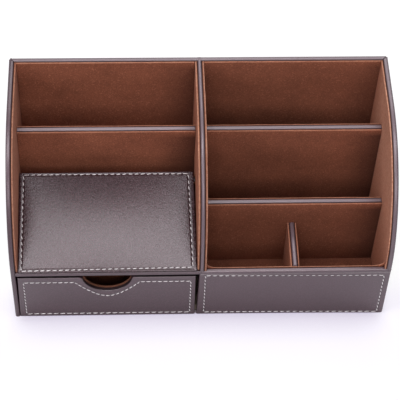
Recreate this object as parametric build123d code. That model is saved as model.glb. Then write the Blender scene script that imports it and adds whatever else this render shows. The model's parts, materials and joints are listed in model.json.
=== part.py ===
from build123d import *
import math
import os

# Desk organizer with a lift lid over a low box, a drawer under it, and open
# compartments. Millimetres. Origin: middle of the underside. +X to the right,
# +Y to the back, +Z up. Every wall is a board wrapped in leather, and every
# compartment is lined with cards covered in suede.

# ---- driving dimensions ---------------------------------------------------
width = 320.0
depth = 152.0
height = 166.0
nose_radius = 100.0          # quarter round at the front of the standing walls
leather = 0.7
board = 2.6                  # board inside a wrapped wall
lining = 1.8                 # card and suede together
lining_recess = 0.8          # linings end this far below the wrapped rims
felt = 1.2
felt_inset = 3.0
base_thickness = 7.0

rear_divider_top = 132.0
rear_divider_y = 22.8        # front face of both rear dividers
front_divider_top = 92.0
front_divider_y = -25.1      # front face of the right front divider
pocket_divider_x = 79.0
slot_depth = 14.2            # slot between the lid box and the rear divider

lid_angle = 17.2
lid_lining = 0.8
lid_gap_left = 0.6
lid_gap_right = 2.0
lid_clearance = 0.3
lid_front_set = 1.2          # the lid's lower front edge, behind the front face
strip_height = 14.0
strip_thickness = 0.7

drawer_gap_left = 2.0        # beside the drawer's front and its box
drawer_gap_right = 3.0
drawer_gap_top = 2.0
drawer_clearance = 0.3       # under the drawer
drawer_stop_gap = 0.4        # between its front and the base
drawer_front_bottom = 2.0
drawer_wall = 3.0
drawer_bottom_thickness = 2.5
drawer_lining = 1.0
drawer_box_gap = 7.5         # between the top of the drawer's box and the shelf
drawer_back_gap = 6.0
notch_depth = 17.8
notch_width = 46.6
notch_shoulder = 3.0
notch_lining_step = 1.0      # the lining's notch is this much larger

# ---- places worked out from them -------------------------------------------
wall = board + 2 * leather           # a wrapped wall
rim_round = 2 * leather              # rounding of the wrapped edges
front_height = height - nose_radius  # top of the front panel and of the shelf
right = width / 2
left = -right
back = depth / 2
front = -back

base_top = felt + base_thickness
shelf_top = front_height
shelf_bottom = shelf_top - wall
base_front = front + wall + drawer_stop_gap
half = wall / 2                                        # half of the middle wall
inner_left = (left + wall + lining, -half - lining)    # X span of the left bays
inner_right = (half + lining, right - wall - lining)   # X span of the right bays
inner_back = back - wall - lining
panel_back = front + wall + lining                     # back of the panel's lining


def block(x, y, z):
    """A box from its low and high places along X, Y and Z."""
    size = Box(x[1] - x[0], y[1] - y[0], z[1] - z[0])
    return Pos((x[0] + x[1]) / 2, (y[0] + y[1]) / 2, (z[0] + z[1]) / 2) * size


def write(name, shape):
    """One STEP file for one piece."""
    shape.label = name
    export_step(shape, f"parts/{name}.step")


def wall_outline(inset, bottom, foot_front):
    """Side view of a standing wall: flat top, quarter-round nose, upright front.

    foot_front is where the wall's front lies below the top of the front panel.
    """
    top = height - inset
    nose_y = front + nose_radius
    nose_front = front + inset
    rear = back - inset
    lines = [
        Line((rear, bottom), (rear, top)),
        Line((rear, top), (nose_y, top)),
        RadiusArc((nose_y, top), (nose_front, front_height), inset - nose_radius),
    ]
    if foot_front > nose_front:
        lines.append(Line((nose_front, front_height), (foot_front, front_height)))
        lines.append(Line((foot_front, front_height), (foot_front, bottom)))
    else:
        lines.append(Line((nose_front, front_height), (nose_front, bottom)))
        foot_front = nose_front
    lines.append(Line((foot_front, bottom), (rear, bottom)))
    return make_face(Curve() + lines)


def standing(outline, x):
    """The side outline, stood upright and given its thickness along X."""
    return extrude(Plane.YZ.offset(x[0]) * outline, x[1] - x[0])


def wrapped_wall(x, rear, bottom, foot_front):
    """Board and leather of a standing wall with a quarter-round nose."""
    outer = standing(wall_outline(0, bottom, foot_front), x)
    outer &= block((x[0], x[1]), (front, rear), (bottom, height))
    foot_inset = foot_front + leather if foot_front > front else front
    core = standing(wall_outline(leather, bottom, foot_inset), (x[0] + leather, x[1] - leather))
    core &= block((x[0], x[1]), (front, rear - leather), (bottom, height))
    rims = [
        edge for edge in outer.edges()
        if abs(edge.center().X - (x[0] + x[1]) / 2) > wall / 4
        and edge.bounding_box().max.Z > front_height + leather
        and edge.center().Y < rear - leather
    ]
    return core, fillet(rims, rim_round) - core


def wrapped_board(x, y, z, rounded):
    """Board and leather of a flat panel, open at the bottom edge.

    rounded picks the outer edges that are rounded, from the outer box's edges.
    """
    outer = block(x, y, z)
    core = block(
        (x[0] + leather, x[1] - leather),
        (y[0] + leather, y[1] - leather),
        (z[0], z[1] - leather),
    )
    return core, fillet(rounded(outer), rim_round) - core


def long_top_edges(shape):
    return shape.edges().group_by(Axis.Z)[-1].sort_by(SortBy.LENGTH)[-2:]


def write_divider(name, x, y_front, top, bottom):
    """A cross divider: board, leather and a suede card on both faces."""
    y = (y_front + lining, y_front + lining + wall)
    core, skin = wrapped_board(x, y, (bottom, top), long_top_edges)
    write(f"{name}_board", core)
    write(f"{name}_leather", skin)
    card_z = (bottom, top - lining_recess)
    write(f"{name}_lining_front", block(x, (y_front, y[0]), card_z))
    write(f"{name}_lining_back", block(x, (y[1], y[1] + lining), card_z))
    return y[1] + lining


os.makedirs("parts", exist_ok=True)

# ---- side walls ------------------------------------------------------------
core, skin = wrapped_wall((left, left + wall), back, felt, front)
write("left_side_board", core)
write("left_side_leather", skin)
card = standing(wall_outline(lining_recess, base_top, front), (left + wall, inner_left[0]))
card &= block((left, 0), (front, back - wall), (shelf_top, height))
write("left_side_lining", card)

core, skin = wrapped_wall((right - wall, right), back, felt, front + wall)
write("right_side_board", core)
write("right_side_leather", skin)
card = standing(wall_outline(lining_recess, base_top, front + wall), (inner_right[1], right - wall))
card &= block((0, right), (front, back - wall), (base_top, height))
write("right_side_lining", card)

# ---- back panel, between the side walls ------------------------------------
core, skin = wrapped_board(
    (left + wall, right - wall), (back - wall, back), (felt, height), long_top_edges
)
write("back_board", core)
write("back_leather", skin)
card_y = (inner_back, back - wall)
write("back_lining_left", block(inner_left, card_y, (shelf_top, height - lining_recess)))
write("back_lining_right", block(inner_right, card_y, (base_top, height - lining_recess)))

# ---- middle wall, from the front panel to the back panel -------------------
core, skin = wrapped_wall((-half, half), back - wall, base_top, front + wall)
write("middle_wall_board", core)
write("middle_wall_leather", skin)
card = standing(wall_outline(lining_recess, base_top, front), (inner_left[1], -half))
card &= block((left, 0), (front, back - wall), (shelf_top, height))
write("middle_wall_lining_left", card)
card = standing(wall_outline(lining_recess, base_top, front + wall), (half, inner_right[0]))
card &= block((0, right), (front, back - wall), (base_top, height))
write("middle_wall_lining_right", card)

# ---- base and its felt ------------------------------------------------------
write("base_board", block(
    (left + wall, right - wall), (base_front, back - wall), (felt, base_top)
))
write("base_felt", block(
    (left + felt_inset, right - felt_inset),
    (base_front, back - felt_inset),
    (0, felt),
))

# ---- front panel of the right half, over the ends of the two walls ----------
core, skin = wrapped_board(
    (-half, right), (front, front + wall), (felt, front_height),
    lambda outer: outer.edges().group_by(Axis.Y)[0] + long_top_edges(outer).sort_by(Axis.Y)[-1:],
)
write("front_panel_board", core)
write("front_panel_leather", skin)
write("front_panel_lining", block(
    inner_right, (front + wall, panel_back), (base_top, front_height - lining_recess)
))

# ---- shelf over the drawer, wrapped round its front edge ---------------------
shelf_x = (left + wall, -half)
shelf_y = (front, back - wall)
outer = block(shelf_x, shelf_y, (shelf_bottom, shelf_top))
core = block(shelf_x, (front + leather, shelf_y[1]), (shelf_bottom + leather, shelf_top - leather))
front_edges = outer.edges().filter_by(Axis.X).group_by(Axis.Y)[0]
write("shelf_board", core)
write("shelf_leather", fillet(front_edges, rim_round) - core)

# ---- cross dividers -----------------------------------------------------------
rear_back = write_divider(
    "left_rear_divider", inner_left, rear_divider_y, rear_divider_top, shelf_top
)
write_divider("right_rear_divider", inner_right, rear_divider_y, rear_divider_top, base_top)
write_divider("right_front_divider", inner_right, front_divider_y, front_divider_top, base_top)
front_back = front_divider_y + 2 * lining + wall

# The divider behind the lid box stops just under the lid's underside.
slope = math.tan(math.radians(lid_angle))
lid_rest = (front + lid_front_set, shelf_top + lid_clearance)
lid_back = rear_divider_y - slot_depth
lid_back_front = lid_back - 2 * lining - wall
lid_divider_top = (
    lid_rest[1] + (lid_back_front - lid_rest[0]) * slope
    - lid_clearance / math.cos(math.radians(lid_angle))
)
write_divider("lid_box_divider", inner_left, lid_back_front, lid_divider_top, shelf_top)

# ---- small divider between the two front pockets ------------------------------
floor_top = base_top + lining
pocket_y = (panel_back, front_divider_y)
pocket_z = (floor_top, front_height)
core, skin = wrapped_board(
    (pocket_divider_x - half, pocket_divider_x + half), pocket_y, pocket_z, long_top_edges
)
write("pocket_divider_board", core)
write("pocket_divider_leather", skin)
for side, x in (("left", pocket_divider_x - half - lining), ("right", pocket_divider_x + half)):
    card = block((x, x + lining), pocket_y, (floor_top, front_height - lining_recess))
    write(f"pocket_divider_lining_{side}", card)

# ---- floor linings --------------------------------------------------------------
right_floor = (base_top, floor_top)
write("floor_lining_rear", block(inner_right, (rear_back, inner_back), right_floor))
write("floor_lining_middle", block(inner_right, (front_back, rear_divider_y), right_floor))
write("floor_lining_front", block(inner_right, (panel_back, front_divider_y), right_floor))
shelf_floor = (shelf_top, shelf_top + lining)
write("shelf_lining_rear", block(inner_left, (rear_back, inner_back), shelf_floor))
write("shelf_lining_slot", block(inner_left, (lid_back, rear_divider_y), shelf_floor))
box_floor_front = lid_rest[0] + lining / slope       # where the lid's underside clears it
write("shelf_lining_box", block(inner_left, (box_floor_front, lid_back_front), shelf_floor))

# ---- lift lid, hinged on a leather strip at its rear edge -----------------------
# It is built flat, with the hinge line at the origin, and then laid on its slope.
hinge_y = lid_back + strip_thickness
hinge_z = lid_rest[1] + (hinge_y - lid_rest[0]) * slope
lid_length = (hinge_y - lid_rest[0]) / math.cos(math.radians(lid_angle))
lid_x = (inner_left[0] + lid_gap_left, inner_left[1] - lid_gap_right)
lid_thickness = lid_lining + board + leather


def lay_lid(shape):
    return Pos(0, hinge_y, hinge_z) * Rot(lid_angle, 0, 0) * shape


outer = block(lid_x, (-lid_length, 0), (0, lid_thickness))
core = block(
    (lid_x[0] + leather, lid_x[1] - leather),
    (leather - lid_length, -leather),
    (lid_lining, lid_thickness - leather),
)
card = block(
    (lid_x[0] + leather, lid_x[1] - leather), (leather - lid_length, -leather), (0, lid_lining)
)
skin = fillet(outer.edges().group_by(Axis.Z)[-1], rim_round) - core - card
write("lid_board", lay_lid(core))
write("lid_leather", lay_lid(skin))
write("lid_lining", lay_lid(card))
write("lid_hinge_strip", block(
    lid_x,
    (lid_back, lid_back + strip_thickness),
    (hinge_z - lid_clearance - strip_height, hinge_z - lid_clearance),
))

# ---- drawer ------------------------------------------------------------------------
drawer_x = (left + wall + drawer_gap_left, -half - drawer_gap_right)
drawer_middle = (drawer_x[0] + drawer_x[1]) / 2
drawer_front_top = shelf_bottom - drawer_gap_top
box_bottom = base_top + drawer_clearance
box_top = shelf_bottom - drawer_box_gap
box_front = front + wall
box_back = back - wall - drawer_back_gap
notch_radius = (notch_depth ** 2 + (notch_width / 2) ** 2) / (2 * notch_depth)
notch_centre_z = drawer_front_top - notch_depth + notch_radius


def notched_front(inset, extra, y, bottom, top):
    """A front board with the finger notch: inset from its edges, notch larger by extra."""
    plate = Pos(drawer_middle, (bottom + top) / 2) * Rectangle(
        drawer_x[1] - drawer_x[0] - 2 * inset, top - bottom
    )
    plate -= Pos(drawer_middle, notch_centre_z) * Circle(notch_radius + extra)
    shoulders = [
        vertex for vertex in plate.vertices().group_by(Axis.Y)[-1]
        if abs(vertex.X - drawer_middle) < notch_radius
    ]
    plate = fillet(shoulders, notch_shoulder)
    return extrude(Plane.XZ.offset(-y[0]) * plate, y[0] - y[1])


outer = notched_front(0, 0, (front, box_front), drawer_front_bottom, drawer_front_top)
core = notched_front(
    leather, leather, (front + leather, box_front - leather),
    drawer_front_bottom + leather, drawer_front_top - leather,
)
front_edges = outer.faces().sort_by(Axis.Y)[0].edges()
write("drawer_front_board", core)
write("drawer_front_leather", fillet(front_edges, rim_round) - core)
write("drawer_front_lining", notched_front(
    drawer_wall, notch_lining_step, (box_front, box_front + lining), box_bottom,
    drawer_front_top - lining_recess,
))
for side, x in (("left", drawer_x[0]), ("right", drawer_x[1] - drawer_wall)):
    board_y = (box_front, box_back)
    write(f"drawer_side_{side}", block((x, x + drawer_wall), board_y, (box_bottom, box_top)))
between = (drawer_x[0] + drawer_wall, drawer_x[1] - drawer_wall)
box_inner_front = box_front + lining
write("drawer_back", block(between, (box_back - drawer_wall, box_back), (box_bottom, box_top)))
floor_y = (box_inner_front, box_back - drawer_wall)
drawer_floor = box_bottom + drawer_bottom_thickness
write("drawer_bottom", block(between, floor_y, (box_bottom, drawer_floor)))
write("drawer_floor_lining", block(between, floor_y, (drawer_floor, drawer_floor + drawer_lining)))
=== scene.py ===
"""Looks of a leather desk organizer with a lift lid and a drawer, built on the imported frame, in metres."""
import json
import math
import random

import bmesh
import bpy
from mathutils import Matrix, Vector


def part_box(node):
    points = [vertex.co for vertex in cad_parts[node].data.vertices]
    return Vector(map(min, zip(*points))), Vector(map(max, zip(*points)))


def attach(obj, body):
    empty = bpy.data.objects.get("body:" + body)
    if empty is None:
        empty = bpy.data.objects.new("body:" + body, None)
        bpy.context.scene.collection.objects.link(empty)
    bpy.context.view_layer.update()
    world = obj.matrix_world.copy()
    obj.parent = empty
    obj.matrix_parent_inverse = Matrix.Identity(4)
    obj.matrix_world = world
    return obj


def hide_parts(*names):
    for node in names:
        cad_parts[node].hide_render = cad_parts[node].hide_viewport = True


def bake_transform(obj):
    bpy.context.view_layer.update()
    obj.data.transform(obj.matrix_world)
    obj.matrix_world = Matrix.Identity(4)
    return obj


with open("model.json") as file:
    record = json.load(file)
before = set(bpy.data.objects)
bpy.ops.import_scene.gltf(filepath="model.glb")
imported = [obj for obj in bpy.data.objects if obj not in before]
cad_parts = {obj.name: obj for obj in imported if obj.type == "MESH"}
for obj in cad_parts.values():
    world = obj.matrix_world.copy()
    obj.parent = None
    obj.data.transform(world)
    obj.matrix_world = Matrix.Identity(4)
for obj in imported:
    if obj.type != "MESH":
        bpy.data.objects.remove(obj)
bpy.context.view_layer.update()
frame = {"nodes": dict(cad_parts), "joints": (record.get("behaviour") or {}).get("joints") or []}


# Base: a fibreboard plate with a sheet of felt glued under it, so that the organizer slides on a
# desk without a scratch. The felt is die-cut a little smaller than the plate, with round corners.
class Wire:
    """One output of a shader node. Plain arithmetic on it adds Math nodes."""

    def __init__(self, finish, socket):
        self.finish = finish
        self.socket = socket

    def math(self, operation, first, second=0.0):
        """A Math node on one value or two."""
        return self.finish.add("ShaderNodeMath", {"operation": operation}, {0: first, 1: second})

    def __add__(self, other):
        return self.math("ADD", self, other)

    def __sub__(self, other):
        return self.math("SUBTRACT", self, other)

    def __rsub__(self, other):
        return self.math("SUBTRACT", other, self)

    def __mul__(self, other):
        return self.math("MULTIPLY", self, other)

    def __truediv__(self, other):
        return self.math("DIVIDE", self, other)

    def __pow__(self, other):
        return self.math("POWER", self, other)

    def __abs__(self):
        return self.math("ABSOLUTE", self)

    def over(self, other):
        """The larger of the two."""
        return self.math("MAXIMUM", self, other)

    def rise(self, start, end):
        """0 below start, 1 above end, and a soft step between them; start may be the larger."""
        sockets = {"Value": self, "From Min": start, "From Max": end}
        return self.finish.add("ShaderNodeMapRange", {"interpolation_type": "SMOOTHSTEP"}, sockets)

    __radd__ = __add__
    __rmul__ = __mul__


class Finish:
    """A material under construction, with its one Principled shader."""

    def __init__(self, name, **constants):
        self.material = bpy.data.materials.new(name)
        self.material.use_nodes = True
        self.tree = self.material.node_tree
        self.shader = self.tree.nodes["Principled BSDF"]
        for socket, value in constants.items():
            self.shader.inputs[socket.replace("_", " ")].default_value = value
        self.place = self.add("ShaderNodeTexCoord", output="Object")

    def add(self, kind, settings=None, sockets=None, output=0):
        """A node with its settings, then the values or links of its sockets, and one of its outputs."""
        node = self.tree.nodes.new(kind)
        for name, value in (settings or {}).items():
            setattr(node, name, value)
        for name, value in (sockets or {}).items():
            self.join(node.inputs[name], value)
        return Wire(self, node.outputs[output])

    def join(self, socket, value):
        """Links a wire to a socket, or writes a plain value in it."""
        if isinstance(value, Wire):
            self.tree.links.new(value.socket, socket)
        else:
            socket.default_value = value

    def axes(self, letters):
        """The coordinates of a point on the piece along the axes that are named."""
        return [self.add("ShaderNodeSeparateXYZ", {}, {0: self.place}, letter) for letter in letters]

    def marked(self, name):
        """The share that a mark leaves on each point of the piece."""
        return self.add("ShaderNodeAttribute", {"attribute_name": name}, output="Fac")

    def noise(self, scale, detail=2.0, stretch=(1, 1, 1), rough=0.5):
        """Cloudy noise whose blotches are 1 / scale metres across, squeezed along each axis by stretch."""
        place = self.add("ShaderNodeVectorMath", {"operation": "MULTIPLY"}, {0: self.place, 1: stretch})
        sockets = {"Vector": place, "Scale": scale, "Detail": detail, "Roughness": rough}
        return self.add("ShaderNodeTexNoise", {}, sockets)

    def tint(self, share, first, second):
        """The first colour where share is 0 and the second where it is 1."""
        return self.add("ShaderNodeMix", {"data_type": "RGBA"}, {0: share, 6: first, 7: second}, 2)

    def bump(self, height, depth, under=None):
        """A normal from a height of 0 to 1, where 1 stands depth metres proud."""
        sockets = {"Height": height, "Distance": depth, "Strength": 1.0}
        if under:
            sockets["Normal"] = under
        return self.add("ShaderNodeBump", {}, sockets)

    def wear(self, **surface):
        """Gives what varies over the surface to the shader, and returns the material."""
        for socket, value in surface.items():
            self.join(self.shader.inputs[socket.replace("_", " ")], value)
        return self.material


def paint(red, green, blue):
    """A colour written as 0 to 255 on a screen, as the renderer wants it."""
    return (*(((c / 255 + 0.055) / 1.055) ** 2.4 for c in (red, green, blue)), 1.0)


def board(name, dark, light):
    """Fibreboard: fine pressed fibres, with faint cloudy patches."""
    finish = Finish(name, Specular_IOR_Level=0.3)
    fibres = finish.noise(700, 3, (0.25, 0.25, 1))
    patches = finish.noise(45)
    colour = finish.tint(fibres * 0.6 + patches * 0.4, dark, light)
    return finish.wear(Base_Color=colour, Roughness=fibres * 0.2 + 0.65, Normal=finish.bump(fibres, 0.00015))


def felt():
    """Needled wool felt: tangled hairs, a little lint and a soft matt face."""
    finish = Finish("dark_felt", Sheen_Weight=0.35, Sheen_Roughness=0.6, Specular_IOR_Level=0.1)
    hairs = finish.noise(1500, 4, (1, 0.45, 1), 0.7)
    tufts = finish.noise(260, 3)
    lint = finish.noise(900).rise(0.7, 0.78)
    colour = finish.tint(hairs * 0.7 + tufts * 0.3, paint(30, 27, 28), paint(62, 57, 58))
    colour = finish.tint(lint * 0.4, colour, paint(112, 104, 100))
    return finish.wear(Base_Color=colour, Roughness=hairs * 0.1 + 0.88, Normal=finish.bump(hairs, 0.0003))


def block(name, low, high):
    """A block between two corners, in edit mode with nothing selected."""
    if bpy.context.object and bpy.context.object.mode == "EDIT":
        bpy.ops.object.mode_set(mode="OBJECT")
    bpy.ops.object.select_all(action="DESELECT")
    low, high = Vector(low), Vector(high)
    bpy.ops.mesh.primitive_cube_add(size=1, location=(low + high) / 2, scale=high - low)
    bpy.ops.object.transform_apply(location=True, rotation=True, scale=True)
    piece = bpy.context.object
    piece.name = name
    piece.data.name = name
    bpy.ops.object.mode_set(mode="EDIT")
    bpy.ops.mesh.select_all(action="DESELECT")
    return piece


def pick(piece, kind, test):
    """Selects the edges or faces whose middle and direction pass a test."""
    bpy.ops.mesh.select_mode(type=kind)
    bpy.ops.mesh.select_all(action="DESELECT")
    shape = bmesh.from_edit_mesh(piece.data)
    for part in shape.edges if kind == "EDGE" else shape.faces:
        corners = [vertex.co for vertex in part.verts]
        middle = sum(corners, Vector()) / len(corners)
        way = part.normal if kind == "FACE" else (corners[1] - corners[0]).normalized()
        if test(middle, way):
            part.select_set(True)
    shape.select_flush_mode()
    bmesh.update_edit_mesh(piece.data)


def ease(width, steps=3):
    """Rounds the selected edges."""
    bpy.ops.mesh.bevel(offset=width, segments=steps, profile=0.5, affect="EDGES")


def finished(piece, material, body, node):
    """Closes a piece: smooth faces, its material, its body if it has only one, and its CAD node."""
    bpy.ops.object.mode_set(mode="OBJECT")
    bpy.ops.object.shade_smooth_by_angle(angle=smooth_turn)
    weighted = piece.modifiers.new("weighted", "WEIGHTED_NORMAL")
    weighted.keep_sharp = True
    bpy.ops.object.modifier_apply(modifier=weighted.name)
    piece.data.materials.clear()
    piece.data.materials.append(material)
    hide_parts(node)
    if body:
        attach(piece, body)


smooth_turn = math.radians(40)
grey_board = board("grey_fibreboard", paint(104, 92, 82), paint(140, 127, 113))
for node in frame["nodes"].values():
    if node.data.materials[0].name == "board":
        node.data.materials[0] = grey_board

felt_corner = 0.003
felt_edge = 0.0004
sheet = block("base_felt_sheet", *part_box("base_felt"))
pick(sheet, "EDGE", lambda middle, way: abs(way.z) > 0.9)
ease(felt_corner, 8)
pick(sheet, "EDGE", lambda middle, way: abs(way.z) < 0.1)
ease(felt_edge, 2)
finished(sheet, felt(), "body", "base_felt")


# Outer walls: fibreboard wrapped in one skin of smooth leather, glued and turned over a rounded
# rim. The two side walls have a large quarter-round nose, and meet the back wall in mitred corners.
def leather(name, seam, gloss, dark, light, dull=0.27, grain=0.00008, speckle=0.12):
    """Smooth grained leather with a soft sheen, between a dark and a light tone.

    seam gives the distance to a sewn line, if there is one. dull is its least roughness, grain the
    height of its pores, and speckle how far its pale specks show.
    """
    finish = Finish(name, Specular_IOR_Level=gloss, Specular_Tint=(1.0, 0.925, 0.975, 1.0))
    hide = finish.noise(16, 3)
    sockets = {"Vector": finish.place, "Scale": 620, "Smoothness": 0.35}
    pores = finish.add("ShaderNodeTexVoronoi", {"feature": "SMOOTH_F1"}, sockets)
    fine = finish.noise(1150, 3, rough=0.7)
    specks = finish.noise(1100, rough=0.6).rise(0.46, 0.64)
    colour = finish.tint(hide * 0.35 + pores * 0.3 + fine * 0.35, dark, light)
    colour = finish.tint(specks * speckle, colour, paint(130, 107, 117))
    # pale rims: partly worn leather, partly painted highlight
    colour = finish.tint(finish.marked("edge") * 0.28, colour, paint(146, 130, 137))
    # dark mark: dark joints at the mitres and the panel, and painted shade in creases, along rim edges,
    # round the notch and in gaps
    colour = finish.tint(finish.marked("glue_and_shade"), colour, paint(30, 19, 22))
    normal = finish.bump(pores * 0.4 + fine * 0.6, grain)
    if seam:
        pull = seam(finish).rise(0.0014, 0.0002)
        # the sewn line's groove is painted darker: painted shade
        colour = finish.tint(pull * 0.35, colour, paint(48, 35, 37))
        normal = finish.bump(1 - pull, 0.00025, normal)
    rough = hide * 0.05 + pores * 0.06 + fine * 0.05 + dull
    return finish.wear(Base_Color=colour, Roughness=rough, Normal=normal)


def fade(value, full, none):
    """1 where value has reached full, 0 where it has reached none, and evenly between them."""
    return min(max((none - value) / (none - full), 0), 1)


def mark(piece, name, share):
    """Writes a share on each point for the finish to read: edge where pale, partly worn and partly painted
    highlight, and the dark mark at joints and where shade is painted.
    """
    bpy.ops.object.mode_set(mode="OBJECT")
    marks = piece.data.attributes.new(name, "FLOAT", "POINT")
    for vertex, place in zip(piece.data.vertices, marks.data):
        place.value = share(vertex.co)
    bpy.ops.object.mode_set(mode="EDIT")


def wear_and_highlight(depth, band=0.0012):
    """How pale the leather is at a depth below its rim: partly worn, partly painted highlight."""
    return fade(depth, hair, band)


def near(value, target, slack=0.00005):
    """Whether two measures agree, give or take the slack."""
    return abs(value - target) < slack


def cut(axis, place):
    """Cuts the piece in hand across an axis at one place; both parts stay."""
    spot, way = Vector(), Vector()
    spot[axis] = place
    way[axis] = 1
    bpy.ops.mesh.select_all(action="SELECT")
    bpy.ops.mesh.bisect(plane_co=spot, plane_no=way)


def modify(piece, kind, **settings):
    """Adds a modifier and applies it."""
    bpy.ops.object.mode_set(mode="OBJECT")
    modifier = piece.modifiers.new(kind.lower(), kind)
    for name, value in settings.items():
        setattr(modifier, name, value)
    bpy.ops.object.modifier_apply(modifier=modifier.name)
    bpy.ops.object.mode_set(mode="EDIT")


def hollow(piece):
    """Leaves only the skin of leather, without what it is wrapped round."""
    modify(piece, "SOLIDIFY", thickness=skin, offset=-1)


def outline_depth(inset):
    """How deep a point lies inside the side view of the walls, moved inwards by inset."""
    radius = nose - inset

    def depth(point):
        back, up = point.y - nose_middle.y, point.z - nose_middle.z
        if back < 0 and up < 0:
            return point.y - front + inset
        if back > 0:
            return rim - inset - point.z
        return radius - math.hypot(back, up)

    return depth


def profiled(name, left, right, foot, front_foot, inset, rear):
    """A wall in the side view of the organizer: upright behind and below, round at the nose."""
    wall = block(name, (left, front_foot, foot), (right, rear, shelf_top))
    pick(wall, "FACE", lambda middle, way: way.z > 0.9)
    bpy.ops.mesh.extrude_region_move(TRANSFORM_OT_translate={"value": (0, 0, nose - inset)})
    if front_foot > front + inset:
        pick(wall, "FACE", lambda middle, way: way.y < -0.9 and middle.z > shelf_top)
        overhang = front_foot - front - inset
        bpy.ops.mesh.extrude_region_move(TRANSFORM_OT_translate={"value": (0, -overhang, 0)})
    bpy.ops.mesh.select_all(action="SELECT")
    bpy.ops.mesh.dissolve_limited(angle_limit=0.01)
    pick(wall, "EDGE", lambda middle, way: near(middle.y, front + inset) and near(middle.z, rim - inset))
    ease(nose - inset, 48)
    bpy.ops.mesh.select_all(action="SELECT")
    bpy.ops.mesh.remove_doubles(threshold=0.00002)
    return wall


def mitre(piece, side, keep_side):
    """Cuts a piece at 45 degrees through a back corner and softens the cut."""
    way = Vector((-side, 1, 0)) if keep_side else Vector((side, -1, 0))
    corner = (side * half_width, back, 0)
    bpy.ops.mesh.select_all(action="SELECT")
    bpy.ops.mesh.bisect(plane_co=corner, plane_no=way, use_fill=True, clear_outer=True)
    pick(piece, "FACE", lambda middle, normal: normal.dot(way.normalized()) > 0.999)
    bpy.ops.mesh.region_to_loop()
    ease(cut_round, 2)


def mitre_shade(point):
    """How dark the leather is by the mitred cut of the nearer back corner."""
    distance = abs((half_width - abs(point.x)) - (back - point.y)) / math.sqrt(2)
    return fade(distance, 0.00015, 0.0006)


def side_shade(point):
    """How dark a side wall is: by its mitre and where it meets the front panel, with painted shade outside
    along its rim.
    """
    over_panel = point.x > 0 and point.y < front + wall
    return max(
        mitre_shade(point),
        fade(rim_depth(point), 0.001, 0.0014) * fade(half_width - abs(point.x), 0.0002, 0.0009),
        fade(point.z, shelf_top, shelf_top + joint_width) if over_panel else 0,
    )


hair = 0.0001
skin = 0.0007
rim_round = 0.0014
corner_round = 0.003
cut_round = 0.0006
foot_drop = 0.001
joint_width = 0.0008
pale_reach = 0.002
low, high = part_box("left_side_leather")
half_width, front, back, rim = -low.x, low.y, high.y, high.z
wall_foot = low.z - foot_drop
wall = high.x - low.x
shelf_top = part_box("shelf_leather")[1].z
nose = rim - shelf_top
nose_middle = Vector((0, front + nose, shelf_top))
rim_depth = outline_depth(0)
plain_leather = leather("brown_leather", None, 0.8, paint(36, 17, 24), paint(72, 43, 53))

for side, name in ((-1, "left_side"), (1, "right_side")):
    low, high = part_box(name + "_leather")
    front_foot = front if side < 0 else front + wall
    rim_start = wall_foot if side < 0 else shelf_top + hair
    cover = profiled(name + "_cover", low.x, high.x, wall_foot, front_foot, 0, back)
    pick(cover, "EDGE", lambda middle, way: near(middle.y, back) and near(abs(middle.x), half_width))
    ease(corner_round, 5)
    pick(
        cover, "EDGE",
        lambda middle, way: abs(way.x) < 0.995 and rim_depth(middle) < hair and middle.z > rim_start,
    )
    ease(rim_round, 5)
    mitre(cover, side, True)
    # on the right wall only, the rim's outer half is pale: partly worn, mostly painted highlight
    if side > 0:
        cut(2, shelf_top + joint_width)
        mark(
            cover, "edge",
            lambda point: wear_and_highlight(rim_depth(point)) * fade(abs(point.x), half_width - pale_reach, half_width),
        )
    # dark joints at the mitre and the panel, and painted shade along the rim's outer edge
    mark(cover, "glue_and_shade", side_shade)
    hollow(cover)
    finished(cover, plain_leather, "body", name + "_leather")

low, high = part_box("back_leather")
cover = block("back_cover", (-half_width, low.y, wall_foot), (half_width, back, rim))
pick(cover, "EDGE", lambda middle, way: abs(way.z) > 0.9 and near(middle.y, back))
ease(corner_round, 5)
pick(cover, "EDGE", lambda middle, way: abs(way.y) < 0.995 and near(middle.z, rim))
ease(rim_round, 5)
mitre(cover, -1, False)
mitre(cover, 1, False)
# pale rim: partly worn, partly painted highlight, painted brighter towards the right
mark(
    cover, "edge",
    lambda point: wear_and_highlight(rim - point.z, rim_round) * (1.15 + 0.1 * fade(point.x, 0.15, -0.15)),
)
mark(cover, "glue_and_shade", mitre_shade)
hollow(cover)
finished(cover, plain_leather, "body", "back_leather")


# Middle wall: made like the side walls, with both faces lined. The end of its leather is drawn out
# over the rim of the back wall and glued down there.
tongue_reach = 0.0034
tongue_lift = 0.0005
slimmer = 0.0004
low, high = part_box("middle_wall_leather")
cover = profiled("middle_wall_cover", low.x + slimmer, high.x - slimmer, low.z, front + wall, 0, high.y)
pick(
    cover, "EDGE",
    lambda middle, way: abs(way.x) < 0.1 and rim_depth(middle) < hair and middle.z > shelf_top + hair,
)
ease(rim_round, 5)
cut(2, rim - rim_round * 1.1)
pick(cover, "FACE", lambda middle, way: way.y > 0.9 and middle.z > rim - rim_round)
bpy.ops.mesh.extrude_region_move(TRANSFORM_OT_translate={"value": (0, tongue_reach, tongue_lift)})
bpy.ops.mesh.region_to_loop()
ease(cut_round, 3)
# pale rim: partly worn, partly painted highlight
mark(cover, "edge", lambda point: wear_and_highlight(rim_depth(point)))
hollow(cover)
finished(cover, plain_leather, "body", "middle_wall_leather")


# Drawer bay and front panel: a shelf wrapped in leather roofs the bay, its rounded front edge below
# the lid. The panel on the right is a board in leather, creased below its rim and sewn all round in
# white, and it is glued across the front ends of the walls.
low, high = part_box("shelf_leather")
cover = block("shelf_cover", low, high)
pick(cover, "EDGE", lambda middle, way: abs(way.x) > 0.9 and near(middle.y, low.y))
ease(rim_round, 5)
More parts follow.
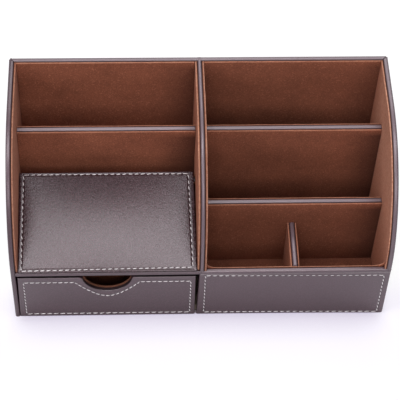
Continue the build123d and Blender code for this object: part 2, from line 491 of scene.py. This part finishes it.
# pale band along the front edge: partly worn, partly painted highlight
mark(cover, "edge", lambda point: 0.4 * fade(point.y, low.y + 0.0002, low.y + 0.0016))
hollow(cover)
finished(cover, plain_leather, "body", "shelf_leather")


def panel_seam(finish):
    """The distance to the sewn line of the panel, which falls a little towards the right."""
    x, z = finish.axes("XZ")
    across = abs(x - (panel_sewn_left + panel_sewn_right) / 2) - (panel_sewn_right - panel_sewn_left) / 2
    share = (x - panel_sewn_left) / (panel_sewn_right - panel_sewn_left)
    over_top = z - panel_sewn_high + share * panel_sewn_fall
    under_foot = panel_sewn_low - z - share * panel_foot_fall
    return abs(across.over(over_top).over(under_foot))


def flare(x, z):
    """How far the panel's foot stands forward towards its right-hand end."""
    return panel_flare * fade(x, 0.16, 0.02) ** 2 * fade(z, 0, 0.05)


def panel_border(middle, way):
    """Whether an edge lies on the outline of the panel's face, its top apart."""
    upright = abs(way.z) > 0.9 and (near(middle.x, low.x) or near(middle.x, high.x))
    foot = abs(way.x) > 0.9 and near(middle.z, low.z)
    corner = (high.x - middle.x) + (middle.z - low.z) < panel_corner
    return near(middle.y, low.y) and (upright or foot or corner)


def cuts(piece, axis, step):
    """Cuts the piece across an axis at even steps, so that its long faces can bend."""
    places = [vertex.co[axis] for vertex in bmesh.from_edit_mesh(piece.data).verts]
    start, length = min(places), max(places) - min(places)
    count = max(1, round(length / step))
    for index in range(1, count):
        cut(axis, start + length * index / count)


def shift(piece, move):
    """Moves each point of the piece in edit mode by what move gives for it."""
    shape = bmesh.from_edit_mesh(piece.data)
    for vertex in shape.verts:
        vertex.co += Vector(move(vertex.co))
    bmesh.update_edit_mesh(piece.data)


def crown(piece, axis, side, low, high, height):
    """Raises the face that looks along an axis into a low cushion, highest in its middle."""
    face = (high if side > 0 else low)[axis]

    def swell(point):
        rise = height if near(point[axis], face) else 0
        for other in {0, 1, 2} - {axis}:
            share = (point[other] - low[other]) / (high[other] - low[other]) * 2 - 1
            rise *= max(1 - share * share, 0)
        return [side * rise if index == axis else 0 for index in range(3)]

    shift(piece, swell)


def panel_spread(point):
    """How far a point of the panel's leather stands forward and to the left of its board."""
    forward = flare(point.x, point.z) if point.y < low.y + 0.002 else 0
    left = panel_lean * (high.z - point.z) / high.z if point.x < low.x + 0.002 else 0
    return -left, -forward, 0


panel_sewn_left, panel_sewn_right = 0.0032, 0.1548
panel_sewn_low, panel_sewn_high = 0.0038, 0.0608
panel_sewn_fall, panel_foot_fall = 0.0024, 0.001
panel_lean = 0.001
panel_flare = 0.0013
panel_swell = 0.0008
panel_corner = 0.002
face_round = 0.0012
cover_step = 0.006
crease_half, crease_depth = 0.0006, 0.0007
front_tones = paint(39, 20, 27), paint(76, 48, 58)
low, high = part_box("front_panel_leather")
low.z = wall_foot
panel_crease = high.z - 0.0036
cover = block("front_panel_cover", low, high)
pick(
    cover, "EDGE",
    lambda middle, way: abs(way.y) > 0.9 and near(middle.x, high.x) and near(middle.z, low.z),
)
ease(panel_corner, 4)
cuts(cover, 0, cover_step)
cuts(cover, 2, cover_step)
pick(cover, "EDGE", lambda middle, way: abs(way.x) > 0.9 and near(middle.z, high.z))
ease(rim_round, 5)
pick(cover, "EDGE", panel_border)
ease(face_round, 4)
for step in (-crease_half, 0, crease_half):
    cut(2, panel_crease + step)
pick(
    cover, "EDGE",
    lambda middle, way: near(middle.z, panel_crease) and near(middle.y, low.y) and abs(way.x) > 0.9,
)
bpy.ops.transform.translate(value=(0, crease_depth, 0))
crown(cover, 1, -1, low, high, panel_swell)
shift(cover, panel_spread)
# pale rim: partly worn, partly painted highlight
mark(cover, "edge", lambda point: 0.3 * wear_and_highlight(high.z - point.z))
# the crease is painted darker: painted shade
mark(
    cover, "glue_and_shade",
    lambda point: fade(abs(point.z - panel_crease), 0.0001, 0.0005)
    * fade(point.y, low.y + 0.0012, low.y + 0.002),
)
hollow(cover)
panel_leather = leather("panel_leather", panel_seam, 1.0, *front_tones)
finished(cover, panel_leather, "body", "front_panel_leather")


# Dividers: thin fibreboard partitions with leather turned over their top edge. They stand between
# the linings of the walls; the one before the hinge carries the lid.
# how pale each divider's rim is: partly worn, partly painted highlight
rim_wear_and_highlight = {
    "left_rear_divider": 1.5, "right_rear_divider": 1, "right_front_divider": 1,
    "lid_box_divider": 0, "pocket_divider": 1,
}
for name, wear in rim_wear_and_highlight.items():
    low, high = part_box(name + "_leather")
    cover = block(name + "_cover", low, high)
    pick(cover, "EDGE", lambda middle, way: near(middle.z, high.z) and abs(way.z) < 0.1)
    ease(rim_round, 5)
    # pale rim: partly worn, partly painted highlight
    mark(cover, "edge", lambda point: wear * wear_and_highlight(high.z - point.z, 0.001))
    # its leather shows only in the shaded gap beside the lid, so it is painted dark all over: painted shade
    if not wear:
        mark(cover, "glue_and_shade", lambda point: 1)
    hollow(cover)
    finished(cover, plain_leather, "body", name + "_leather")


# Linings: card covered in brown suede, glued to the walls a little below their rims. The card's
# edges are soft and slightly uneven, and pale along the rim, partly rubbed nap and partly painted
# highlight; painted shade darkens grooves, corners and pockets, and painted light the side linings' tops.
def suede():
    """Brown suede: a short nap that lies darker and lighter at random, pale on its rims where worn and with
    painted highlight, and darkened by painted shade.
    """
    finish = Finish("brown_suede", Sheen_Weight=0.1, Sheen_Roughness=0.5, Specular_IOR_Level=0.15)
    finish.shader.inputs["Sheen Tint"].default_value = paint(230, 170, 150)
    strokes = finish.noise(32, 3)
    tufts = finish.noise(150, 3)
    nap = finish.noise(1000, 3, rough=0.7)
    hairs = nap.rise(0.28, 0.72)
    flecks = finish.noise(650).rise(0.56, 0.72)
    ragged = finish.noise(420, 3).rise(0.25, 0.65)
    colour = finish.tint(strokes * 0.35 + tufts * 0.25 + hairs * 0.4, paint(82, 42, 31), paint(172, 104, 78))
    colour = finish.tint(flecks * 0.3, colour, paint(200, 130, 102))
    # pale rim, partly worn nap and partly painted highlight, and painted light on the side linings
    colour = finish.tint(finish.marked("edge") * (ragged * 0.6 + 0.4), colour, paint(206, 158, 134))
    # dark mark: painted shade
    colour = finish.tint(finish.marked("glue_and_shade"), colour, paint(44, 22, 17))
    return finish.wear(Base_Color=colour, Roughness=nap * 0.1 + 0.85, Normal=finish.bump(nap, 0.0002))


def ease_corners(width, steps, angle=50):
    """Rounds every edge of the piece in hand that turns by more than an angle in degrees."""
    bpy.ops.mesh.select_mode(type="EDGE")
    bpy.ops.mesh.select_all(action="DESELECT")
    bpy.ops.mesh.edges_select_sharp(sharpness=math.radians(angle))
    ease(width, steps)


def soften(piece, marks):
    """Rounds the edges of a lining, writes its marks on it, and waves it slightly."""
    ease_corners(card_round, 3)
    for name, share in marks.items():
        mark(piece, name, share)
    modify(piece, "DISPLACE", texture=wave_cloud, strength=wave, mid_level=0.5, texture_coords="LOCAL")


def standing_marks(depth, glue_and_shade, pale, shade):
    """Marks of a standing lining: a pale rim, partly worn and partly painted highlight, a line of painted
    shade behind it, and painted shade and light on its nap.

    depth measures from its rim, and the second argument from the face that lies on the wall. shade gives
    the painted shade on the nap below the rim, and as less than 0 the painted light on it.
    """
    def edge(point):
        # pale rim, partly worn and partly painted highlight, plus the painted light
        rim_share = fade(depth(point), 0.0002, 0.0007) * fade(glue_and_shade(point), 0.0011, 0.0006)
        return rim_share * pale + max(-shade(point), 0)

    def dark(point):
        # painted shade in the groove by the wall, and the painted shade on the nap
        line = fade(depth(point), 0.0008, 0.0016) * fade(-depth(point), 0.0001, 0.0006)
        below_rim = fade(depth(point), 0.003, 0.001)
        return line * fade(glue_and_shade(point), 0.0005, 0.0009) + max(shade(point), 0) * below_rim

    return {"edge": edge, "glue_and_shade": dark}


def turned_up(pad, low, high, radius):
    """Lets the top edge of a lining turn up into the linings at both its ends."""
    for step in (0.1, 0.25, 0.45, 0.7, 1):
        cut(0, low.x + radius * step)
        cut(0, high.x - radius * step)

    def lift(point):
        share = 1 - min(point.x - low.x, high.x - point.x, radius) / radius
        rise = radius * (1 - math.sqrt(1 - share * share)) * 0.8
        return 0, 0, rise if near(point.z, high.z) else 0

    shift(pad, lift)


def lining(name, body, marks, turn=0):
    """A flat lining in the box of its CAD node; turn is how wide its top edge turns up at both ends."""
    low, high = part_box(name)
    pad = block(name + "_suede", low, high)
    if turn:
        turned_up(pad, low, high, turn)
    thinnest_first = sorted(range(3), key=lambda axis: high[axis] - low[axis])
    for axis in thinnest_first[1:]:
        cuts(pad, axis, card_step)
    soften(pad, marks)
    finished(pad, brown_suede, body, name)


wave = 0.0005
wave_cloud = bpy.data.textures.new("wave_cloud", "CLOUDS")
wave_cloud.noise_scale = 0.016
wave_cloud.noise_depth = 1
brown_suede = suede()
card_round = 0.0007
card_corner = 0.004
card_turn = 0.009
card_step = 0.008
wide_step = 0.01

# the floor linings are painted darker all over: painted shade
for name in ("floor_lining_rear", "floor_lining_middle", "floor_lining_front"):
    lining(name, "body", {"glue_and_shade": lambda point: 0.55})
for name in ("shelf_lining_rear", "shelf_lining_slot", "shelf_lining_box"):
    lining(name, "body", {})

# the axis and side of the glued face, how pale the rim is, worn and painted highlight, and how dark
# the painted shade makes the right-hand end
flat_cards = {
    "back_lining_left": (1, 1, 0.38, 0.5), "back_lining_right": (1, 1, 0.3, 0.5),
    "front_panel_lining": (1, -1, 0.55, 0.75),
    "pocket_divider_lining_left": (0, 1, 0.3, 0), "pocket_divider_lining_right": (0, -1, 0.3, 0),
}
for name in ("left_rear_divider", "right_rear_divider", "right_front_divider", "lid_box_divider"):
    flat_cards[name + "_lining_front"] = (1, 1, 0.25, 0.75)
    flat_cards[name + "_lining_back"] = (1, -1, 0.4, 0.75)
for name, (axis, side, pale, corner) in flat_cards.items():
    low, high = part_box(name)
    face = (high if side > 0 else low)[axis]
    # painted shade: each right-hand lining with a shaded end is darker all over, and darker towards that end
    dull = 0.12 if low.x > 0 and corner else 0
    marks = standing_marks(
        lambda point: high.z - point.z, lambda point: abs(point[axis] - face), pale,
        lambda point: max(corner * fade(high.x - point.x, 0.001, 0.036), dull),
    )
    lining(name, "body", marks, card_turn if name == "front_panel_lining" else 0)

# the side of the glued face, how pale the rim is, worn and painted highlight, and how much painted light
# makes the face paler towards the top
nosed_cards = {
    "left_side_lining": (-1, 0.25, 0.24), "right_side_lining": (1, 0.35, 0.36),
    "middle_wall_lining_left": (1, 0.6, 0), "middle_wall_lining_right": (-1, 0.6, 0),
}
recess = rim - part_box("left_side_lining")[1].z
for name, (side, pale, painted_top_light) in nosed_cards.items():
    low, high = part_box(name)
    glued_end = high if side > 0 else low
    if name.startswith("middle_wall"):
        glued_end.x += side * slimmer
    front_foot = front + (wall if low.z < shelf_top - hair else recess)
    pad = profiled(name + "_suede", low.x, high.x, low.z, front_foot, recess, high.y)
    if high.x < 0:
        pick(pad, "EDGE", lambda middle, way: near(middle.y, front + recess) and near(middle.z, shelf_top))
        ease(card_corner, 6)
    cuts(pad, 1, wide_step)
    cuts(pad, 2, wide_step)
    # painted shade towards the back corner, and painted light paler towards the top
    marks = standing_marks(
        outline_depth(recess), lambda point: abs(point.x - glued_end.x), pale,
        lambda point: 0.3 * fade(high.y - point.y, 0.001, 0.022) - painted_top_light * fade(point.z, 0.12, 0.04),
    )
    soften(pad, marks)
    finished(pad, brown_suede, "body", name)


# Lid: a board covered in leather, turned in all round and sewn, with suede inside. It lies sloping
# over the front box and swings up on a leather strip glued behind the divider.
def leaf(name, inset, under, over):
    """A flat layer of the lid, still lying level with its rear edge on zero."""
    return block(name, (lid_left + inset, -lid_length + inset, under), (lid_right - inset, -inset, over))


def skew(piece):
    """Gives a flat layer of the lid its uneven outline: its right edge stands out a little in front."""
    def spread(point):
        forward = 1 - (1 + point.y / lid_length) ** 2
        return lid_skew * forward * fade(point.x, lid_right, lid_middle), 0, 0

    shift(piece, spread)


def lay(piece):
    """Tilts a flat layer to the lid's slope and sets its rear lower edge on the hinge line."""
    shape = bmesh.from_edit_mesh(piece.data)
    bmesh.ops.transform(shape, matrix=lid_place, verts=shape.verts)
    bmesh.update_edit_mesh(piece.data)


def lid_seam(finish):
    """The distance to the line of stitches on the lid, in its own sloping plane."""
    x, y, z = finish.axes("XYZ")
    along = (y - hinge.y) * math.cos(slope) + (z - hinge.z) * math.sin(slope)
    half_length = (lid_sewn_rear - lid_sewn_front) / 2
    aside = along * (-2 / lid_length) - 1
    on_right = (x - lid_middle).over(0) * (lid_sewn_skew / (lid_sewn_right - lid_middle))
    on_left = (lid_middle - x).over(0) * (lid_left_skew / (lid_middle - lid_sewn_left))
    x = x - aside * on_right + aside * on_left
    across = abs(x - (lid_sewn_left + lid_sewn_right) / 2) - (lid_sewn_right - lid_sewn_left) / 2
    return abs(across.over(abs(along - (lid_sewn_rear + lid_sewn_front) / 2) - half_length))


hinge_joint = next(joint for joint in frame["joints"] if joint["name"] == "lid_hinge")
hinge = Vector(hinge_joint["pos_m"])
slope = math.radians(17.2)
lid_place = Matrix.Translation(hinge) @ Matrix.Rotation(slope, 4, "X")
lid_length = 0.0888
lid_thick = 0.0028
lid_round = 0.0007
lid_swell = 0.002
lid_wider = 0.0005
lid_skew = 0.0011
low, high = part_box("lid_leather")
lid_left, lid_right = low.x, high.x + lid_wider
lid_middle = (lid_left + lid_right) / 2
lid_sewn_left, lid_sewn_right = lid_left + 0.0031, lid_right - 0.0034
lid_sewn_front, lid_sewn_rear = -lid_length + 0.0024, -0.0021
lid_sewn_skew, lid_left_skew, lid_front_skew = 0.0011, 0.0006, 0.0009
board_room = 0.0009
board_sink = 0.0006
board_round = 0.0004
liner_room = 0.0012
liner_low, liner_high = -0.0001, 0.0007
liner_round = 0.0002

cover = leaf("lid_cover", 0, 0, lid_thick)
cuts(cover, 0, cover_step)
cuts(cover, 1, cover_step)
ease_corners(lid_round, 3)
crown(cover, 2, 1, (lid_left, -lid_length, 0), (lid_right, 0, lid_thick), lid_swell)
skew(cover)
lay(cover)
hollow(cover)
lid_tones = paint(8, 0, 1), paint(54, 12, 20)
lid_hide = leather("lid_leather_sewn", lid_seam, 0.4, *lid_tones, dull=0.11, grain=0.0001, speckle=0.24)
finished(cover, lid_hide, "lid", "lid_leather")

core = leaf("lid_core_board", board_room, board_sink, lid_thick - board_sink)
bpy.ops.mesh.select_all(action="SELECT")
ease(board_round, 2)
cuts(core, 0, cover_step)
cuts(core, 1, wide_step)
skew(core)
lay(core)
finished(core, grey_board, "lid", "lid_board")

pad = leaf("lid_lining_suede", liner_room, liner_low, liner_high)
cuts(pad, 0, card_step)
cuts(pad, 1, card_step)
ease_corners(liner_round, 2)
skew(pad)
lay(pad)
finished(pad, brown_suede, "lid", "lid_lining")


# Lid hinge: a strip of the same leather, glued up the back of the divider and over the rear edge of
# the lid. It is the hinge itself and folds along the lid's lower edge.
strip_short = 0.0014
strip_over_lid = 0.9 * lid_thick
strip_round = 0.0002
strip_step = 0.0006
low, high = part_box("lid_hinge_strip")
strip = block("hinge_leather", low, (high.x - strip_short, high.y, hinge.z + strip_over_lid))
cuts(strip, 2, strip_step)
pick(strip, "FACE", lambda middle, way: middle.z > hinge.z - 0.00001)
bpy.ops.mesh.select_mode(type="VERT")
bpy.ops.transform.rotate(value=-slope, orient_axis="X", center_override=hinge)
ease_corners(strip_round, 2, 60)
finished(strip, plain_leather, None, "lid_hinge_strip")
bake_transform(strip)


# Drawer: a thin fibreboard box, stained brown, with a suede floor. Its front is a board wrapped in
# leather, with a round notch to pull it by, a sewn line that follows the notch, and a suede back.
plank_round = 0.0006
dark_board = board("brown_stained_board", paint(52, 34, 27), paint(84, 57, 45))
for name in ("drawer_side_left", "drawer_side_right", "drawer_back", "drawer_bottom"):
    low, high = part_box(name)
    plank = block(name + "_plank", low, high)
    pick(plank, "EDGE", lambda middle, way: near(middle.z, high.z) and abs(way.z) < 0.1)
    ease(plank_round, 2)
    finished(plank, dark_board, "drawer", name)
lining("drawer_floor_lining", "drawer", {})


def notched(name, low, high, radius):
    """A board with the round notch cut out of its top edge and the notch's shoulders rounded."""
    panel = block(name, low, high)
    bpy.ops.object.mode_set(mode="OBJECT")
    bpy.ops.object.select_all(action="DESELECT")
    bpy.ops.mesh.primitive_cylinder_add(
        vertices=96, radius=radius, depth=cutter_length, rotation=(math.pi / 2, 0, 0),
        location=(drawer_middle, low.y, notch_height),
    )
    cutter = bpy.context.object
    bpy.ops.object.select_all(action="DESELECT")
    panel.select_set(True)
    bpy.context.view_layer.objects.active = panel
    modify(panel, "BOOLEAN", object=cutter, operation="DIFFERENCE")
    bpy.data.objects.remove(cutter)
    half_opening = math.sqrt(radius ** 2 - (notch_height - high.z) ** 2)
    pick(
        panel, "EDGE",
        lambda middle, way: abs(way.y) > 0.9 and high.z - notch_shoulder * 1.2 < middle.z < high.z - hair / 2
        and near(abs(middle.x - drawer_middle), half_opening, notch_shoulder),
    )
    bpy.ops.mesh.dissolve_edges(use_verts=True)
    pick(
        panel, "EDGE",
        lambda middle, way: abs(way.y) > 0.9 and near(middle.z, high.z)
        and near(abs(middle.x - drawer_middle), half_opening, hair * 2),
    )
    ease(notch_shoulder, 6)
    return panel


def notch_depth(point):
    """How far a point lies from the round of the notch."""
    return math.hypot(point.x - drawer_middle, point.z - notch_height) - notch_radius


def drawer_seam(finish):
    """The distance to the sewn line of the drawer front: a frame that dips round the notch.

    The dip is a hyperbola, and the distance to it is measured square to the line.
    """
    x, z = finish.axes("XZ")
    beyond_ends = abs(x - drawer_middle) - drawer_sewn_half
    sewn_middle = (drawer_sewn_low + drawer_sewn_high) / 2
    beyond_edges = abs(z - sewn_middle) - (drawer_sewn_high - drawer_sewn_low) / 2
    aside = (x - drawer_middle) * dip_steep
    bend = (aside ** 2 + dip_round ** 2) ** 0.5
    dip = (z - dip_low + dip_round - bend) * bend * (bend ** 2 + (aside * dip_steep) ** 2) ** -0.5
    return abs(beyond_ends.over(beyond_edges).over(dip))


def drawer_lean(point):
    """How far an end of the drawer front's leather leans outwards towards its foot."""
    down = (high.z - point.z) / (high.z - low.z)
    right = lean_right if near(point.x, high.x) else 0
    left = lean_left if near(point.x, low.x) else 0
    return (right - left) * down, 0, 0


def cover_shade(point):
    """The painted shade on the front's leather behind its face: along the top, and round the notch."""
    return (
        fade(high.z - point.z, 0.00005, 0.0002) * fade(point.y, low.y + 0.0008, low.y + 0.0003)
        + 0.85 * fade(notch_depth(point), 0.0005, 0.0009) * fade(point.y, low.y + 0.0006, low.y)
    )


def back_shade(point):
    """The painted shade on the front's suede back: darker all over, and black at the notch."""
    at_notch = fade(notch_depth(point), 0.001, 0.002)
    return 0.4 + 0.6 * fade(point.y, high.y - 0.0005, high.y - notch_shade_band) * at_notch


front_wider, front_lower, front_short = 0.0006, 0.0016, 0.0008
lean_left, lean_right = 0.0012, 0.0003
notch_radius = 0.02085
notch_height = 0.06005
notch_shoulder = 0.003
cutter_length = 0.02
drawer_sewn_half = 0.0705
drawer_sewn_low, drawer_sewn_high = 0.0044, 0.053
dip_half, dip_low = 0.0276, 0.032
dip_round, dip_steep = 0.0226, 1.35
front_round = 0.0009
core_round = 0.0003
lip = 0.0005
suede_proud = 0.0003
notch_shade_band = 0.0009
low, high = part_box("drawer_front_leather")
drawer_middle = (low.x + high.x) / 2
low.x -= front_wider
low.z -= front_lower
high.z -= front_short
front_top = high.z
cover = notched("drawer_front_cover", low, high, notch_radius)
shift(cover, drawer_lean)
pick(cover, "EDGE", lambda middle, way: near(middle.y, low.y))
ease(front_round, 4)
# painted shade along the drawer front's top and round the notch
mark(cover, "glue_and_shade", cover_shade)
hollow(cover)
drawer_leather = leather("drawer_leather", drawer_seam, 1.0, *front_tones)
finished(cover, drawer_leather, "drawer", "drawer_front_leather")

low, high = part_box("drawer_front_board")
high.z = front_top - board_room
core = notched("drawer_front_core", low, high, notch_radius + board_room)
ease_corners(core_round, 2)
finished(core, grey_board, "drawer", "drawer_front_board")

low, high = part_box("drawer_front_lining")
low.y -= lip
high.z -= front_short
pad = notched("drawer_front_suede", low, high, notch_radius - suede_proud)
ease_corners(core_round, 2)
cut(1, low.y + lip)
cut(1, high.y - notch_shade_band)
# painted shade on the suede back, black at the notch
mark(pad, "glue_and_shade", back_shade)
# pale nap on all but the back strip: partly worn, partly painted highlight
mark(pad, "edge", lambda point: 0.2 * fade(point.y, high.y - 0.0008, high.y - 0.0004))
finished(pad, brown_suede, "drawer", "drawer_front_lining")


# Thread: waxed white cord in saddle stitches about 5 mm apart, each a short slanting lens that dips
# into the leather at both ends. The same stitch is copied along every sewn line.
def thread():
    """Waxed cord: two twisted plies, off white and slightly soiled."""
    finish = Finish("white_waxed_thread", Specular_IOR_Level=0.4)
    soil = finish.noise(60, 3)
    plies = finish.noise(1800)
    colour = finish.tint(soil * 0.6 + plies * 0.4, paint(208, 201, 204), paint(238, 233, 234))
    return finish.wear(Base_Color=colour, Roughness=plies * 0.2 + 0.5, Normal=finish.bump(plies, 0.0002))


def sew(name, corners, pitches, facing, body):
    """Copies the stitch along the runs between the corners of a closed line, each run at its own pitch."""
    chance = random.Random(name)
    copies = []
    for start, end, pitch in zip(corners, corners[1:] + corners[:1], pitches):
        length = (end - start).length
        along = (end - start).normalized()
        count = max(1, round(length / pitch))
        upright = abs(along.x) < 0.3
        lean = stitch_slant * (upright_lean if upright else 1)
        tight = upright_tight if upright else 1
        turn = Matrix((along, facing.cross(along), facing)).transposed().to_4x4()
        stretch = Matrix.Diagonal((length / count / stitch_pitch * tight, 1, 1, 1))
        for index in range(count):
            place = start.lerp(end, (index + 0.5) / count)
            slant = Matrix.Rotation(lean + chance.uniform(-uneven, uneven), 4, "Z")
            copy = stitch.copy()
            copy.data = stitch.data.copy()
            copy.data.transform(Matrix.Translation(place) @ turn @ slant @ stretch)
            bpy.context.collection.objects.link(copy)
            copies.append(copy)
    bpy.ops.object.select_all(action="DESELECT")
    for copy in copies:
        copy.select_set(True)
    bpy.context.view_layer.objects.active = copies[0]
    bpy.ops.object.join()
    line = bpy.context.object
    line.name = name
    line.data.name = name
    line.matrix_world = Matrix.Identity(4)
    bpy.ops.object.shade_smooth()
    line.data.materials.clear()
    line.data.materials.append(white_thread)
    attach(line, body)


stitch_pitch = 0.0053
stitch_length = 0.0045
stitch_width = 0.00072
stitch_slant = math.radians(6)
upright_lean, upright_tight = 1.6, 0.88
uneven = 0.06
white_thread = thread()
bpy.ops.object.select_all(action="DESELECT")
bpy.ops.mesh.primitive_cylinder_add(
    vertices=8, radius=stitch_width / 2, depth=stitch_length, rotation=(0, math.pi / 2, 0)
)
bpy.ops.object.transform_apply(location=True, rotation=True, scale=True)
stitch = bpy.context.object
bpy.ops.object.mode_set(mode="EDIT")
for place in (-0.42, -0.25, 0, 0.25, 0.42):
    cut(0, place * stitch_length)
bpy.ops.object.mode_set(mode="OBJECT")
# towards its ends the stitch gets thinner and dips
for vertex in stitch.data.vertices:
    share = min(abs(vertex.co.x) / stitch_length * 2, 1)
    vertex.co.y *= 1 - 0.6 * share ** 4
    vertex.co.z *= 0.8 * (1 - 0.5 * share ** 4)
    vertex.co.z += stitch_width * (0.22 - 0.62 * share ** 3)

forward = Vector((0, -1, 0))
panel_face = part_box("front_panel_leather")[0].y
outline = (
    (panel_sewn_left, panel_sewn_low), (0.08, panel_sewn_low - panel_foot_fall / 2),
    (0.12, panel_sewn_low - panel_foot_fall * 0.77), (panel_sewn_right, panel_sewn_low - panel_foot_fall),
    (panel_sewn_right, panel_sewn_high - panel_sewn_fall), (panel_sewn_left, panel_sewn_high),
)
corners = [Vector((x, panel_face - flare(x, z), z)) for x, z in outline]
sew("panel_thread", corners, (0.0056, 0.0056, 0.0056, 0.005, 0.0053, 0.005), forward, "body")

dip_points = 16
dip_spread = 0.132
dip_pitch = 0.0047
sewn_left, sewn_right = drawer_middle - drawer_sewn_half, drawer_middle + drawer_sewn_half
outline = [
    (sewn_left, drawer_sewn_high), (sewn_left, drawer_sewn_low),
    (sewn_right, drawer_sewn_low), (sewn_right, drawer_sewn_high),
]
for index in range(dip_points):
    share = 1 - 2 * index / (dip_points - 1)
    aside = dip_half * share * (1 + dip_spread - dip_spread * share ** 2)
    outline.append((drawer_middle + aside, dip_low - dip_round + math.hypot(dip_round, dip_steep * aside)))
corners = [Vector((x, panel_face, z)) for x, z in outline]
sew("drawer_thread", corners, (0.005, 0.0057, 0.005) + (dip_pitch,) * (dip_points + 1), forward, "drawer")

outline = (
    (lid_sewn_left - lid_left_skew, lid_sewn_front - lid_front_skew),
    (lid_sewn_right + lid_sewn_skew, lid_sewn_front + lid_front_skew),
    (lid_sewn_right - lid_sewn_skew, lid_sewn_rear), (lid_sewn_left + lid_left_skew, lid_sewn_rear),
)
corners = [lid_place @ Vector((x, y, lid_thick)) for x, y in outline]
upward = (lid_place @ Vector((0, 0, lid_thick)) - hinge).normalized()
sew("lid_thread", corners, (0.0052,) * 4, upward, "lid")
bpy.data.objects.remove(stitch)


# Table and studio: a pale floor and a white surround, with soft lamps overhead, in front, on the
# left and behind. The camera looks down steeply from the front, a little from the left.
def seen(finish):
    """1 where a thing is seen straight, in a mirror or through glass, and 0 where it only gives light."""
    straight, mirror, glass = (
        finish.add("ShaderNodeLightPath", output=ray)
        for ray in ("Is Camera Ray", "Is Glossy Ray", "Is Transmission Ray")
    )
    return straight.over(mirror).over(glass)


def lamp(name, place, aim, width, height, power):
    """A soft rectangular lamp that looks at a point."""
    data = bpy.data.lights.new(name, "AREA")
    data.shape = "RECTANGLE"
    data.size = width
    data.size_y = height
    data.energy = power
    light = bpy.data.objects.new(name, data)
    light.location = place
    light.rotation_mode = "QUATERNION"
    light.rotation_quaternion = (Vector(aim) - Vector(place)).to_track_quat("-Z", "Y")
    bpy.context.collection.objects.link(light)


floor_size = 12
floor_finish = Finish("pale_floor", Specular_IOR_Level=0.1)
dust = floor_finish.noise(3)
floor_colour = floor_finish.tint(dust, paint(248, 246, 252), paint(252, 250, 255))
floor_finish.wear(Base_Color=floor_colour, Roughness=dust * 0.1 + 0.8)

# where it is seen the floor glows nearly white, with painted shadow close to the organizer, darker in
# the gaps under it, and painted shadow in its reflection
x, y = floor_finish.axes("XY")
beside = abs(x).rise(0.14, 0.17)
far = (x * x + y * y).rise(0.05, 0.2)
behind = y.rise(-0.07, -0.03)
close = floor_finish.add("ShaderNodeAmbientOcclusion", {"samples": 16}, {"Distance": 0.045}, "AO")
wide = floor_finish.add("ShaderNodeAmbientOcclusion", {"samples": 16}, {"Distance": 0.16}, "AO")
glow = floor_finish.tint(close.rise(0.3, 1.0).over(beside), paint(166, 158, 181), paint(226, 223, 232))
glow = floor_finish.tint(far.over(behind), glow, paint(236, 236, 236))
glow = floor_finish.tint(close.rise(0.36, 0.2), glow, paint(52, 38, 42))
mirrored = floor_finish.tint(wide.rise(0.4, 0.9), paint(30, 26, 38), paint(236, 233, 242))
glow = floor_finish.tint(floor_finish.add("ShaderNodeLightPath", output="Is Glossy Ray"), glow, mirrored)
glow = floor_finish.add("ShaderNodeEmission", {}, {"Color": glow, "Strength": 1.0})
catch = floor_finish.add("ShaderNodeBsdfDiffuse", {}, {"Color": paint(140, 138, 140)})
white = floor_finish.add("ShaderNodeAddShader", {}, {0: glow, 1: catch})
plain = Wire(floor_finish, floor_finish.shader.outputs[0])
shown = floor_finish.add("ShaderNodeMixShader", {}, {0: seen(floor_finish), 1: plain, 2: white})
floor_finish.join(floor_finish.tree.nodes["Material Output"].inputs["Surface"], shown)
bpy.ops.object.select_all(action="DESELECT")
bpy.ops.mesh.primitive_plane_add(size=floor_size)
floor = bpy.context.object
floor.name = "floor"
floor.data.materials.append(floor_finish.material)

lamp("overhead_lamp", (-0.05, -0.142, 1.15), (-0.05, -0.142, 0), 0.9, 0.37, 7.3)
lamp("front_lamp", (0.05, -1.15, 1.05), (0, 0, 0.1), 1.0, 0.6, 7.0)
lamp("left_lamp", (-1.5, -0.5, 1.3), (0, 0, 0.1), 0.8, 0.8, 12.5)
lamp("rear_lamp", (0.1, 0.8, 1.1), (0, 0, 0), 0.8, 0.34, 3.9)


class Surround(Finish):
    """The light from all round, made with the same nodes as a finish."""

    def __init__(self, name):
        world = bpy.data.worlds.new(name)
        world.use_nodes = True
        bpy.context.scene.world = world
        self.tree = world.node_tree
        self.background = self.tree.nodes["Background"]


ambient = 0.1
surround = Surround("white_surround")
surround.background.inputs["Color"].default_value = (1, 1, 1, 1)
surround.join(surround.background.inputs["Strength"], seen(surround) * (1 - ambient) + ambient)

camera_data = bpy.data.cameras.new("camera")
camera_data.lens = 138.15
camera = bpy.data.objects.new("camera", camera_data)
camera_place = (-0.0568, -0.7878, 1.1385)
camera_yaw, camera_pitch, camera_roll = (math.radians(angle) for angle in (4.192, 53.655, 2.794))
camera.matrix_world = (
    Matrix.Translation(camera_place)
    @ Matrix.Rotation(-camera_yaw, 4, "Z")
    @ Matrix.Rotation(math.pi / 2 - camera_pitch, 4, "X")
    @ Matrix.Rotation(camera_roll, 4, "Z")
)
bpy.context.collection.objects.link(camera)
bpy.context.scene.camera = camera
bpy.context.scene.view_settings.view_transform = "Standard"
